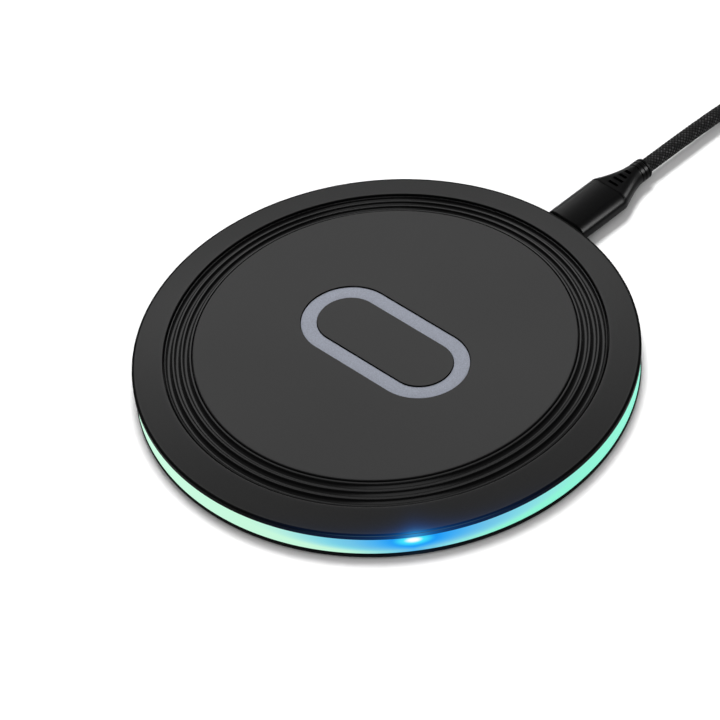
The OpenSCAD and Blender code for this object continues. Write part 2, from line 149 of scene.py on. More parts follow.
def start_edit(piece, name):
    """Names a new primitive, applies its place and opens it in edit mode with all of it selected."""
    piece.name = name
    piece.data.name = name
    only(piece)
    bpy.ops.object.transform_apply(location=True, rotation=True, scale=True)
    bpy.ops.object.mode_set(mode="EDIT")
    bpy.ops.mesh.select_mode(type="VERT")
    bpy.ops.mesh.select_all(action="SELECT")


def end_edit(piece, sharp_over=30):
    """Closes doubles, turns faces outwards and smooths all but the sharp edges."""
    bpy.ops.mesh.select_all(action="SELECT")
    bpy.ops.mesh.remove_doubles(threshold=0.002 * MM)
    bpy.ops.mesh.normals_make_consistent(inside=False)
    bpy.ops.object.mode_set(mode="OBJECT")
    only(piece)
    bpy.ops.object.shade_smooth_by_angle(angle=math.radians(sharp_over))


def pick_edges(piece, test):
    """Selects the edges whose two ends pass a test; the piece is in edit mode."""
    bpy.ops.mesh.select_mode(type="EDGE")
    bpy.ops.mesh.select_all(action="DESELECT")
    shape = bmesh.from_edit_mesh(piece.data)
    for edge in shape.edges:
        edge.select_set(all(test(vert.co / MM) for vert in edge.verts))
    bmesh.update_edit_mesh(piece.data)


def cut(piece, cutter):
    """Takes the cutter's shape out of a piece."""
    only(piece)
    change = piece.modifiers.new("cut", "BOOLEAN")
    change.operation = "DIFFERENCE"
    change.solver = "EXACT"
    change.object = cutter
    bpy.ops.object.modifier_apply(modifier=change.name)
    bpy.data.objects.remove(cutter)
    bpy.ops.object.shade_smooth_by_angle(angle=math.radians(30))


def arc(centre, radius, start, end, count=6):
    """Points of an arc, in degrees, both ends included."""
    turns = [math.radians(start + (end - start) * i / count) for i in range(count + 1)]
    return [(centre[0] + radius * math.cos(a), centre[1] + radius * math.sin(a)) for a in turns]


def trace(name, outline, at=(0, 0)):
    """Draws an outline, [radius, height], by extruding one corner along it, and leaves it in edit mode."""
    deselect()
    first = outline[0]
    bpy.ops.mesh.primitive_plane_add(size=MM, location=((at[0] + first[0]) * MM, at[1] * MM, first[1] * MM))
    piece = bpy.context.object
    start_edit(piece, name)
    bpy.ops.mesh.merge(type="CENTER")
    for here, there in zip(outline, outline[1:]):
        step = ((there[0] - here[0]) * MM, 0, (there[1] - here[1]) * MM)
        bpy.ops.mesh.extrude_region_move(TRANSFORM_OT_translate={"value": step})
    bpy.ops.mesh.select_all(action="SELECT")
    return piece


def turned(name, outline, steps=192, sharp_over=30):
    """Spins an outline once round the pad's axis."""
    piece = trace(name, outline)
    bpy.ops.mesh.spin(steps=steps, angle=TURN, center=(0, 0, 0), axis=(0, 0, 1))
    end_edit(piece, sharp_over)
    return piece


def outline_ring(width, height, corner, count=64, crown=0.0):
    """Points of an upright rounded rectangle, [across, up], with its top and bottom arched by the crown."""
    corner = min(corner, width / 2, height / 2)
    points = []
    for i in range(count):
        a = TURN * (i + 0.5) / count
        quarter = (math.copysign(1, math.cos(a)), math.copysign(1, math.sin(a)))
        across = quarter[0] * (width / 2 - corner) + corner * math.cos(a)
        up = quarter[1] * (height / 2 - corner) + corner * math.sin(a)
        points.append((across, up - crown * math.sin(a) * (2 * across / width) ** 2))
    return points


def lofted(name, sections, centre, count=64, sharp_over=30, crown=0.0):
    """Extrudes a ring along +Y through sections, [y, width, height, corner], each shaped as it goes."""
    deselect()
    bpy.ops.mesh.primitive_circle_add(vertices=count, radius=MM, fill_type="NGON",
                                      rotation=(math.pi / 2, 0, 0))
    piece = bpy.context.object
    start_edit(piece, name)
    for number, (y, width, height, corner) in enumerate(sections):
        if number:
            bpy.ops.mesh.extrude_region_move(TRANSFORM_OT_translate={"value": (0, MM, 0)})
        shape = bmesh.from_edit_mesh(piece.data)
        ring = [vert for vert in shape.verts if vert.select]
        ring.sort(key=lambda vert: math.atan2(vert.co.z - (centre[1] * MM if number else 0),
                                              vert.co.x - (centre[0] * MM if number else 0)) % TURN)
        for vert, (across, up) in zip(ring, outline_ring(width, height, corner, count, crown)):
            vert.co = ((centre[0] + across) * MM, y * MM, (centre[1] + up) * MM)
        bmesh.update_edit_mesh(piece.data)
    end_edit(piece, sharp_over)
    return piece


def long_oval(name, length, width, band, low, high, turn, rounding=0.0):
    """A flat ring with straight sides and round ends: a circle drawn apart, inset, and extruded."""
    deselect()
    count = 128
    bpy.ops.mesh.primitive_circle_add(vertices=count, radius=width / 2 * MM, fill_type="NGON",
                                      location=(0, 0, high * MM), rotation=(0, 0, TURN / count / 2))
    piece = bpy.context.object
    start_edit(piece, name)
    shape = bmesh.from_edit_mesh(piece.data)
    for vert in shape.verts:
        vert.co.x += math.copysign((length - width) / 2 * MM, vert.co.x)
    bmesh.update_edit_mesh(piece.data)
    bpy.ops.mesh.select_mode(type="FACE")
    bpy.ops.mesh.select_all(action="SELECT")
    bpy.ops.mesh.inset(thickness=band * MM)
    bpy.ops.mesh.delete(type="FACE")
    bpy.ops.mesh.select_all(action="SELECT")
    bpy.ops.mesh.extrude_region_move(TRANSFORM_OT_translate={"value": (0, 0, (low - high) * MM)})
    bpy.ops.mesh.select_all(action="SELECT")
    bpy.ops.mesh.normals_make_consistent(inside=False)
    if rounding:
        pick_edges(piece, lambda co: abs(co.z - high) < 0.001)
        shape = bmesh.from_edit_mesh(piece.data)
        for edge in shape.edges:
            if edge.select and abs(edge.link_faces[0].normal.z - edge.link_faces[1].normal.z) < 0.5:
                edge.select_set(False)
        bmesh.update_edit_mesh(piece.data)
        bpy.ops.mesh.bevel(offset=rounding * MM, segments=4, profile=0.5, affect="EDGES")
    bpy.ops.mesh.select_all(action="SELECT")
    bpy.ops.transform.rotate(value=-math.radians(turn), orient_axis="Z", center_override=(0, 0, 0))
    end_edit(piece)
    return piece


# Shader helpers

def feed(tree, socket, value):
    """Links a socket to another, or sets its value."""
    if isinstance(value, bpy.types.NodeSocket):
        tree.links.new(value, socket)
    elif hasattr(value, "__len__") and len(value) == 3 and socket.type == "RGBA":
        socket.default_value = (*value, 1)
    else:
        socket.default_value = value


def add(tree, kind, inputs=None, **settings):
    """Adds a node with its settings and inputs."""
    made = tree.nodes.new("ShaderNode" + kind)
    for name, value in settings.items():
        setattr(made, name, value)
    for name, value in (inputs or {}).items():
        feed(tree, made.inputs[name], value)
    return made


def sums(tree, operation, *values, clamp=False):
    """One step of arithmetic."""
    made = add(tree, "Math", operation=operation, use_clamp=clamp)
    for socket, value in zip(made.inputs, values):
        feed(tree, socket, value)
    return made.outputs[0]


def ramp(tree, value, stops, interpolation="LINEAR"):
    """A colour for each value, from [place, colour] stops."""
    made = add(tree, "ValToRGB", {"Fac": value})
    made.color_ramp.interpolation = interpolation
    elements = made.color_ramp.elements
    for number, (place, colour) in enumerate(stops):
        element = elements[number] if number < 2 else elements.new(place)
        element.position = place
        element.color = (*colour, 1)
    return made.outputs["Color"]


def blend_colour(tree, share, first, second, blend_type="MIX"):
    """Mixes two colours."""
    made = add(tree, "Mix", data_type="RGBA", blend_type=blend_type)
    feed(tree, made.inputs[0], share)
    feed(tree, made.inputs[6], first)
    feed(tree, made.inputs[7], second)
    return made.outputs[2]


def fitted(tree, value, low, high, to_low=0.0, to_high=1.0, smooth=False):
    """Maps a range onto another, clamped."""
    made = add(tree, "MapRange", {"Value": value, "From Min": low, "From Max": high,
                                  "To Min": to_low, "To Max": to_high})
    if smooth:
        made.interpolation_type = "SMOOTHSTEP"
    return made.outputs["Result"]


def group(name, ins, outs):
    """Makes an empty shader group; returns it, its inputs and its output node."""
    tree = bpy.data.node_groups.new(name, "ShaderNodeTree")
    for socket, value in ins.items():
        tree.interface.new_socket(socket, in_out="INPUT", socket_type="NodeSocketFloat").default_value = value
    for socket in outs:
        tree.interface.new_socket(socket, in_out="OUTPUT", socket_type="NodeSocketFloat")
    return tree, tree.nodes.new("NodeGroupInput").outputs, tree.nodes.new("NodeGroupOutput").inputs


def use_group(tree, made, **values):
    """Places a group in a material with its own values."""
    placed = tree.nodes.new("ShaderNodeGroup")
    placed.node_tree = made
    for name, value in values.items():
        feed(tree, placed.inputs[name], value)
    return placed.outputs


def make_grain_group():
    """Moulded grain: fine pits at one scale and slow patches of gloss at a larger one."""
    tree, ins, outs = group("moulded_grain", {"Scale": 2500, "Patches": 60}, ["Pits", "Patch"])
    place = add(tree, "TexCoord").outputs["Object"]
    pits = add(tree, "TexNoise", {"Vector": place, "Scale": ins["Scale"], "Detail": 3, "Roughness": 0.6})
    patch = add(tree, "TexNoise", {"Vector": place, "Scale": ins["Patches"], "Detail": 2, "Roughness": 0.5})
    feed(tree, outs["Pits"], pits.outputs["Fac"])
    feed(tree, outs["Patch"], patch.outputs["Fac"])
    return tree


def make_lamp_group():
    """Bearing from the lamp in degrees, height in millimetres, and how much of its light spills there."""
    tree, _, outs = group("from_lamp", {}, ["Degrees", "Height", "Spill"])
    place = add(tree, "SeparateXYZ", {"Vector": add(tree, "TexCoord").outputs["Object"]}).outputs
    bearing = sums(tree, "DEGREES", sums(tree, "ARCTAN2", place["Y"], place["X"]))
    turn = sums(tree, "WRAP", sums(tree, "SUBTRACT", bearing, LAMP_TURN), 180, -180)
    radius = sums(tree, "SQRT", sums(tree, "ADD", sums(tree, "POWER", place["X"], 2),
                                     sums(tree, "POWER", place["Y"], 2)))
    inward = sums(tree, "SUBTRACT", PAD_R, sums(tree, "DIVIDE", radius, MM))
    spread = sums(tree, "ADD", 1, sums(tree, "POWER", sums(tree, "DIVIDE", turn, 3.0), 2))
    spread = sums(tree, "POWER", spread, -0.75)
    ends = fitted(tree, sums(tree, "ABSOLUTE", turn), 24, 38, 1, 0)
    spread = sums(tree, "MULTIPLY", spread, sums(tree, "MULTIPLY", ends, fitted(tree, turn, -4, 3, 0.68, 1)))
    fade = sums(tree, "EXPONENT", sums(tree, "DIVIDE", inward, -1.1))
    feed(tree, outs["Degrees"], turn)
    feed(tree, outs["Height"], sums(tree, "DIVIDE", place["Z"], MM))
    feed(tree, outs["Spill"], sums(tree, "MULTIPLY", spread, fade))
    return tree


def make_braid_group():
    """Two sets of strands that cross over and under; U goes round the cord, V along it in metres."""
    tree, ins, outs = group("braid", {"Around": BRAID_AROUND, "Step": BRAID_STEP},
                            ["Height", "Strand", "Chance"])
    place = add(tree, "SeparateXYZ", {"Vector": add(tree, "TexCoord").outputs["UV"]}).outputs
    around = sums(tree, "MULTIPLY", place["X"], ins["Around"])
    along = sums(tree, "DIVIDE", place["Y"], ins["Step"])
    left = sums(tree, "ADD", around, along)
    right = sums(tree, "SUBTRACT", around, along)
    cells = sums(tree, "ADD", sums(tree, "FLOOR", left), sums(tree, "FLOOR", right))
    over = sums(tree, "GREATER_THAN", sums(tree, "PINGPONG", cells, 1), 0.5)
    ridge_left = sums(tree, "SINE", sums(tree, "MULTIPLY", sums(tree, "FRACT", left), math.pi))
    ridge_right = sums(tree, "SINE", sums(tree, "MULTIPLY", sums(tree, "FRACT", right), math.pi))
    swapped = sums(tree, "SUBTRACT", 1, over)
    top = sums(tree, "ADD", sums(tree, "MULTIPLY", ridge_left, over),
               sums(tree, "MULTIPLY", ridge_right, swapped))
    side = sums(tree, "ADD", sums(tree, "MULTIPLY", ridge_right, over),
                sums(tree, "MULTIPLY", ridge_left, swapped))
    crown = sums(tree, "MULTIPLY", top, sums(tree, "POWER", side, 0.5))
    fibres = sums(tree, "ADD", sums(tree, "MULTIPLY", left, over), sums(tree, "MULTIPLY", right, swapped))
    threads = sums(tree, "MULTIPLY", sums(tree, "SINE", sums(tree, "MULTIPLY", fibres, 6 * math.pi)), 0.12)
    feed(tree, outs["Height"], sums(tree, "ADD", crown, threads))
    feed(tree, outs["Strand"], crown)
    cell = add(tree, "CombineXYZ", {"X": sums(tree, "FLOOR", left), "Y": sums(tree, "FLOOR", right)})
    feed(tree, outs["Chance"], add(tree, "TexWhiteNoise", {"Vector": cell.outputs[0]}).outputs["Value"])
    return tree


def shell_material(name, colour, roughness, metallic=0.0, specular=0.5):
    """A material with its plain constants set on the shader; returns it, its tree and its shader."""
    material = bpy.data.materials.new(name)
    material.use_nodes = True
    shader = material.node_tree.nodes["Principled BSDF"]
    shader.inputs["Base Color"].default_value = (*colour, 1)
    shader.inputs["Roughness"].default_value = roughness
    shader.inputs["Metallic"].default_value = metallic
    shader.inputs["Specular IOR Level"].default_value = specular
    return material, material.node_tree, shader


def moulded(name, colour, roughness, grain=2500, depth=0.004, patches=60, spread=0.06, metallic=0.0,
            specular=0.5):
    """Moulded or cast stuff: a grained surface whose gloss and shade drift slowly."""
    material, tree, shader = shell_material(name, colour, roughness, metallic, specular)
    marks = use_group(tree, grain_group, Scale=grain, Patches=patches)
    gloss = fitted(tree, marks["Patch"], 0.3, 0.7, roughness - spread, roughness + spread)
    feed(tree, shader.inputs["Roughness"], gloss)
    lighter = tuple(min(1.0, c * 1.25 + 0.001) for c in colour)
    darker = tuple(c * 0.8 for c in colour)
    feed(tree, shader.inputs["Base Color"],
         blend_colour(tree, fitted(tree, marks["Pits"], 0.3, 0.7), darker, lighter))
    bump = add(tree, "Bump", {"Strength": 1.0, "Distance": depth * MM, "Height": marks["Pits"]})
    feed(tree, shader.inputs["Normal"], bump.outputs["Normal"])
    return material


def spill_light(material, strength):
    """Paints the lamp's blue light as emission where it would spill over a black piece, deeper blue further
    off.
    """
    tree = material.node_tree
    shader = tree.nodes["Principled BSDF"]
    lamp = use_group(tree, lamp_group)
    blue = blend_colour(tree, fitted(tree, lamp["Spill"], 0.15, 0.9), (0.008, 0.24, 1.0), (0.045, 0.45, 1.0))
    feed(tree, shader.inputs["Emission Color"],
         blend_colour(tree, sums(tree, "MULTIPLY", lamp["Spill"], strength), (0, 0, 0), blue))
    shader.inputs["Emission Strength"].default_value = 1.0
    return material


def edge_line_material():
    """The cover's outer corner, with a thin blue line of the lamp's light painted on as emission near the
    lamp.
    """
    material, tree, shader = shell_material("edge_line", (0.001, 0.001, 0.001), 0.3, specular=0.1)
    lamp = use_group(tree, lamp_group)
    share = fitted(tree, sums(tree, "ABSOLUTE", lamp["Degrees"]), 6, 27, 1, 0, smooth=True)
    feed(tree, shader.inputs["Emission Color"], blend_colour(tree, share, (0, 0, 0), srgb(48, 76, 100)))
    shader.inputs["Emission Strength"].default_value = 1.0
    return material


def srgb(*levels):
    """A linear colour from display levels, 0 to 255."""
    return tuple((v / 255 / 12.92) if v < 11 else ((v / 255 + 0.055) / 1.055) ** 2.4 for v in levels)


def light_guide_material():
    """Frosted guide, lit from inside: mint all round, blue by the lamp, white at it."""
    material, tree, shader = shell_material("lit_guide", (0.004, 0.005, 0.005), 0.3, specular=0.1)
    lamp = use_group(tree, lamp_group)
    marks = use_group(tree, grain_group, Scale=900, Patches=70)
    along = sums(tree, "ABSOLUTE", lamp["Degrees"])
    along = sums(tree, "MULTIPLY", along, fitted(tree, lamp["Degrees"], -2, 2, 1, 0.82))
    low = fitted(tree, lamp["Height"], SEAM_Z, LIP_Z, 1.25, 0)
    low = sums(tree, "MINIMUM", sums(tree, "POWER", low, 4.6), 1.3)
    reach = sums(tree, "ADD", sums(tree, "MULTIPLY", along, sums(tree, "MULTIPLY_ADD", low, 0.55, 1.0)),
                 sums(tree, "MULTIPLY", low, 8))
    reach = sums(tree, "ADD", reach, sums(tree, "MULTIPLY", sums(tree, "SUBTRACT", marks["Patch"], 0.5), 3))
    share = sums(tree, "DIVIDE", reach, 40)
    blues = [(0.0, srgb(12, 152, 248)), (1.0, srgb(160, 225, 228)), (0.12, srgb(14, 154, 247)),
             (0.175, srgb(50, 168, 246)), (0.24, srgb(77, 180, 241)), (0.35, srgb(108, 195, 232)),
             (0.50, srgb(124, 212, 230))]
    blue = ramp(tree, share, blues)
    side = sums(tree, "SINE", sums(tree, "RADIANS", lamp["Degrees"]))
    mint = blend_colour(tree, fitted(tree, side, -0.4, 0.4, 0, 1, smooth=True),
                        srgb(196, 247, 219), srgb(138, 242, 212))
    tint = blend_colour(tree, fitted(tree, share, 0.4, 1.0, 0, 1, smooth=True), blue, mint)
    beside = sums(tree, "POWER", sums(tree, "DIVIDE", lamp["Degrees"], 2.9), 2)
    above = sums(tree, "POWER", sums(tree, "SUBTRACT", lamp["Height"], 5.1), 2)
    spot = sums(tree, "SQRT", sums(tree, "ADD", beside, above))
    tint = blend_colour(tree, fitted(tree, spot, 0.6, 1.8, 1, 0, smooth=True), tint, srgb(62, 232, 253))
    core = sums(tree, "SQRT", sums(tree, "ADD", sums(tree, "MULTIPLY", beside, 1.9),
                                   sums(tree, "MULTIPLY", above, 1.6)))
    tint = blend_colour(tree, fitted(tree, core, 0.3, 1.15, 1, 0, smooth=True), tint, (1.0, 1.0, 1.0))
    feed(tree, shader.inputs["Emission Color"], tint)
    shader.inputs["Emission Strength"].default_value = 1.0
    bump = add(tree, "Bump", {"Strength": 1.0, "Distance": 0.01 * MM, "Height": marks["Pits"]})
    feed(tree, shader.inputs["Normal"], bump.outputs["Normal"])
    return material


def braid_material():
    """Black braid: satin strands with painted shade in the gaps between them, and a few lighter threads."""
    material, tree, shader = shell_material("black_braid", (0.012, 0.012, 0.013), 0.4, specular=0.22)
    weave = use_group(tree, braid_group)
    strand = fitted(tree, weave["Strand"], 0.45, 0.95)
    top = blend_colour(tree, fitted(tree, weave["Chance"], 0.55, 1.0),
                       (0.006, 0.006, 0.0063), (0.07, 0.07, 0.072))
    # Painted shade: the colour falls far darker in the gaps between strands than on their tops.
    shade = blend_colour(tree, strand, (0.0006, 0.0006, 0.0007), top)
    feed(tree, shader.inputs["Base Color"], shade)
    feed(tree, shader.inputs["Roughness"], fitted(tree, weave["Strand"], 0.2, 1.0, 0.8, 0.3))
    bump = add(tree, "Bump", {"Strength": 1.0, "Distance": 0.12 * MM, "Height": weave["Height"]})
    feed(tree, shader.inputs["Normal"], bump.outputs["Normal"])
    return material


# The cord: its route, and the tube along it

# Millimetres, as the cable's CAD nodes have them
LEAD = [(0, 73.0, 4.15), (0, 74.5, 4.15), (0, 78, 4.15), (0, 82, 4.1), (0, 86, 4.05), (0, 90, 3.95),
        (0, 94, 3.8), (0, 98, 3.55), (0, 102, 3.2), (0, 106, 2.75), (0, 110, 2.3), (0, 114, 1.9),
        (0, 118, 1.7), (0, 122, 1.75), (0, 126, 2.0)]
TAIL = [(50.4, 126, 5.4), (50.4, 122, 5.2), (50.4, 118, 4.6), (50.4, 114, 4.1), (50.4, 110, 4.0),
        (50.4, 108, 4.0)]
CORD_R = 1.6
WOUND = (25.2, 130.0)
WOUND_OUT = 25.2
WOUND_IN = 13.0
LOW_Z = 2.2
HIGH_Z = 5.4
LOW_TURNS = 3.75
RISE_TURNS = 0.35
HIGH_TURNS = 3.4
BRAID_AROUND = 12
BRAID_RELIEF = 0.11

# Metres along the cord: one step of the braid, and where its modelled strands end
BRAID_STEP = 0.0009
BRAIDED_TO = 0.056


def wound_points():
    """Two flat layers, in to the middle and out again, turning clockwise from the lead's side."""
    points = []
    whole = LOW_TURNS + RISE_TURNS + HIGH_TURNS
    count = int(whole * 72)
    for i in range(count + 1):
        done = whole * i / count
        if done < LOW_TURNS:
            radius = WOUND_OUT + (WOUND_IN - WOUND_OUT) * done / LOW_TURNS
            height = LOW_Z
        elif done < LOW_TURNS + RISE_TURNS:
            share = (done - LOW_TURNS) / RISE_TURNS
            radius = WOUND_IN
            height = LOW_Z + (HIGH_Z - LOW_Z) * share * share * (3 - 2 * share)
        else:
            share = (done - LOW_TURNS - RISE_TURNS) / HIGH_TURNS
            radius = WOUND_IN + (WOUND_OUT - WOUND_IN) * share
            height = HIGH_Z
        a = math.pi - TURN * done
        points.append((WOUND[0] + radius * math.cos(a), WOUND[1] + radius * math.sin(a), height))
    return points


def smooth_route(points, spacing):
    """Points a set distance apart on a smooth curve through the given ones, in metres."""
    points = [Vector(p) * MM for p in points]
    fine = []
    for i in range(len(points) - 1):
        before = points[max(i - 1, 0)]
        here, there = points[i], points[i + 1]
        after = points[min(i + 2, len(points) - 1)]
        for step in range(24):
            t = step / 24
            fine.append(0.5 * (2 * here + (there - before) * t
                               + (2 * before - 5 * here + 4 * there - after) * t * t
                               + (3 * here - before - 3 * there + after) * t ** 3))
    fine.append(points[-1])
    route = [fine[0]]
    left = spacing(0.0)
    gone = 0.0
    for here, there in zip(fine, fine[1:]):
        length = (there - here).length
        used = 0.0
        while length - used >= left:
            used += left
            gone += left
            route.append(here.lerp(there, used / length))
            left = spacing(gone)
        left -= length - used
    if (route[-1] - fine[-1]).length > 0.2 * MM:
        route.append(fine[-1])
    return route


def braid_height(around, along):
    """How proud the braid stands at a point, from 0 to 1."""
    left = around * BRAID_AROUND + along / BRAID_STEP
    right = around * BRAID_AROUND - along / BRAID_STEP
    over = (math.floor(left) + math.floor(right)) % 2 == 1
    ridges = [abs(math.sin(math.pi * left)), abs(math.sin(math.pi * right))]
    return ridges[0 if over else 1] * ridges[1 if over else 0] ** 0.5


def cord_tube(name, route, sides, shown_to):
    """A tube round the route, braided in its shape up to shown_to and smooth after it, with a UV map."""
    verts = []
    gone = [0.0]
    for here, there in zip(route, route[1:]):
        gone.append(gone[-1] + (there - here).length)
    for i, point in enumerate(route):
        heading = (route[min(i + 1, len(route) - 1)] - route[max(i - 1, 0)]).normalized()
        side = heading.cross(Vector((0, 0, 1))).normalized()
        up = side.cross(heading)
        relief = BRAID_RELIEF if gone[i] < shown_to else BRAID_RELIEF * 0.3
        for k in range(sides):
            a = TURN * k / sides
            radius = CORD_R - relief + relief * braid_height(k / sides, gone[i])
            if gone[i] >= shown_to:
                radius = CORD_R - relief * 0.5
            verts.append(point + (side * math.cos(a) + up * math.sin(a)) * radius * MM)
    last = len(route) - 1
    faces = [(i * sides + k, i * sides + (k + 1) % sides,
              (i + 1) * sides + (k + 1) % sides, (i + 1) * sides + k)
             for i in range(last) for k in range(sides)]
    faces.append(tuple(range(sides - 1, -1, -1)))
    faces.append(tuple(last * sides + k for k in range(sides)))
    mesh = bpy.data.meshes.new(name)
    mesh.from_pydata(verts, [], faces)
    layer = mesh.uv_layers.new(name="along_the_cord")
    for number, face in enumerate(mesh.polygons):
        ring, k = divmod(number, sides)
        if ring >= last:
            continue
        corners = [(k, ring), (k + 1, ring), (k + 1, ring + 1), (k, ring + 1)]
        for loop, (around, i) in zip(face.loop_indices, corners):
            layer.data[loop].uv = (around / sides, gone[i])
    mesh.validate()
    piece = bpy.data.objects.new(name, mesh)
    bpy.context.scene.collection.objects.link(piece)
    only(piece)
    bpy.ops.object.mode_set(mode="EDIT")
    bpy.ops.mesh.select_all(action="SELECT")
    bpy.ops.mesh.normals_make_consistent(inside=False)
    bpy.ops.object.mode_set(mode="OBJECT")
    bpy.ops.object.shade_smooth_by_angle(angle=math.radians(60))
    return piece, gone[-1]


# The pad's pieces

def make_cover():
    """Sloping rim, seat for the ribbed ring, and raised disc, with a groove for the oval."""
    slope = math.degrees(math.atan2(RIM_Z - EDGE_Z, PAD_R - RIM_IN_R))
    outline = [(0, UNDER_Z), (WELL_R, UNDER_Z), (WELL_R, LIP_Z), (CENTRING_R - 1, LIP_Z),
               (CENTRING_R - 1, LIP_Z - 0.4), (CENTRING_R, LIP_Z - 0.4), (CENTRING_R, LIP_Z),
               (GUIDE_R + 0.03, LIP_Z), (GUIDE_R + 0.03, LIP_Z - 0.26)]
    outline += arc((PAD_R - 0.12, LIP_Z - 0.14), 0.12, -90, 0, 3)
    outline += arc((PAD_R - 0.1, EDGE_Z - 0.1), 0.1, 0, 65, 3)
    outline += [(PAD_R - 0.5, EDGE_Z + 0.13), (PAD_R - 0.62, EDGE_Z + 0.149), (PAD_R - 0.9, EDGE_Z + 0.216)]
    outline += [(RIM_IN_R + 0.75, RIM_Z - 0.135)]
    outline += arc((RIM_IN_R + 0.22, RIM_Z - 0.24), 0.22, 90 - slope, 180, 8)
    outline += [(RIM_IN_R, SEAT_Z), (DISC_R, SEAT_Z)]
    outline += arc((DISC_R - 0.3, DISC_Z - 0.3), 0.3, 0, 90, 8)
    outline += [(DISC_R - 0.8, DISC_Z), (24, DISC_Z), (0, DISC_Z)]
    piece = turned("cover", outline, 256)
    groove = long_oval("groove", OVAL_L + OVAL_GAP, OVAL_W + OVAL_GAP, OVAL_BAND + OVAL_GAP,
                       OVAL_FLOOR_Z, DISC_Z + 1, OVAL_TURN)
    cut(piece, groove)
    return piece


def dark_parts(piece, finish, test):
    """Gives the faces that pass a test, by centre and normal, a second material, used on the cover for
    painted shade and a painted line of light.
    """
    piece.data.materials.append(finish)
    for face in piece.data.polygons:
        if test(face.center / MM, face.normal):
            face.material_index = len(piece.data.materials) - 1


def make_ribbed_ring():
    """Rubber ring with three round channels between narrow ribs, rising towards the disc."""
    outer = RIM_IN_R - 0.15
    inner = DISC_R + 0.15
    low, high = RIM_Z - 0.35, DISC_Z - 0.175
    rib = 0.45
    pitch = (outer - inner - rib) / 3
    half = (pitch - rib) / 2
    top = lambda r: low + (high - low) * (outer - r) / (outer - inner)
    outline = [(inner, SEAT_Z), (inner, top(inner) - 0.1), (inner + 0.1, top(inner + 0.1))]
    for i in range(3):
        middle = inner + rib + half + i * pitch
        lip = 0.08
        outline.append((middle - half - lip, top(middle - half - lip)))
        outline += [(r, top(r) + 0.72 * (z - 0.06)) for r, z in
                    [(middle + half * math.cos(math.radians(a)), math.sin(math.radians(a)))
                     for a in range(190, 351, 10)]]
        outline.append((middle + half + lip, top(middle + half + lip)))
    outline += [(outer - 0.1, top(outer - 0.1)), (outer, top(outer) - 0.1), (outer, SEAT_Z), (inner, SEAT_Z)]
    return turned("ribbed_band", outline, 256, 40)


def make_light_ring():
    """Frosted guide with softly rounded edges and a window for the port."""
    outline = [(GUIDE_IN_R, SEAM_Z), (GUIDE_R - 0.12, SEAM_Z)]
    outline += arc((GUIDE_R - 0.15, SEAM_Z + 0.15), 0.15, -60, 0, 3)
    outline += arc((GUIDE_R - 0.15, LIP_Z - 0.15), 0.15, 0, 60, 3)
    outline += [(GUIDE_R - 0.12, LIP_Z), (GUIDE_IN_R, LIP_Z), (GUIDE_IN_R, SEAM_Z)]
    piece = turned("light_band", outline, 256)
    window = lofted("window", [(43, 9.34, 3.56, 1.78), (49.1, 9.34, 3.56, 1.78), (49.9, 9.9, 4.1, 2.0),
                               (52, 11.3, 5.5, 2.7)], (0, PORT_Z))
    cut(piece, window)
    return piece


def make_case():
    """Black tray with a rounded bottom edge and a groove for the foot ring."""
    outline = [(0, CASE_Z), (20, CASE_Z), (36.2, CASE_Z)]
    outline += [(36.85, CASE_Z), (36.85, 1.0), (43.15, 1.0), (43.15, CASE_Z), (46, CASE_Z)]
    outline += arc((CASE_R - BASE_ROUND, CASE_Z + BASE_ROUND), BASE_ROUND, -90, 0, 10)
    outline += [(CASE_R, SEAM_Z - 0.1), (CASE_R - 0.1, SEAM_Z), (CENTRING_R, SEAM_Z),
                (CENTRING_R, SEAM_Z + 0.4), (CENTRING_R - 1, SEAM_Z + 0.4),
                (CENTRING_R - 1, SEAM_Z), (0, SEAM_Z)]
    return turned("case", outline, 256)


def make_foot():
    """Rubber foot ring with rounded edges and fine grip grooves."""
    outline = [(37, 1.0), (37, 0.15), (37.15, 0)]
    for r in (38.5, 40.0, 41.5):
        outline += [(r - 0.18, 0), (r - 0.1, 0.12), (r + 0.1, 0.12), (r + 0.18, 0)]
    outline += [(42.85, 0), (43, 0.15), (43, 1.0), (37, 1.0)]
    return turned("foot", outline, 192)


def make_oval():
    """Pale rubber oval, set in its groove a little below the disc's face."""
    return long_oval("oval_band", OVAL_L, OVAL_W, OVAL_BAND, OVAL_FLOOR_Z, OVAL_TOP_Z, OVAL_TURN,
                     rounding=0.05)


# The plugs

def slots_in(piece, places, centre, reach):
    """Cuts flexing slots, [y, across], through the top and bottom of a strain relief."""
    for y, across, height in places:
        for side in (-1, 1):
            slot = lofted("slot", [(y - 0.33, across, reach, 0.3), (y + 0.33, across, reach, 0.3)],
                          (centre[0], centre[1] + side * (height + reach / 2)), 32)
            cut(piece, slot)


def make_plug_grip():
    """Moulded grip: arched top and bottom, rounded long edges and a soft front edge."""
    sections = [(51, 9.5, 4.5, 1.9), (51.08, 9.75, 4.75, 2.0), (51.3, 10, 5, 2.1), (57, 10, 5, 2.1),
                (63.2, 10, 5, 2.1), (63.7, 9.96, 4.98, 2.1), (64, 9.85, 4.94, 2.1)]
    return lofted("plug_body", sections, (0, PORT_Z), 96, crown=0.8)


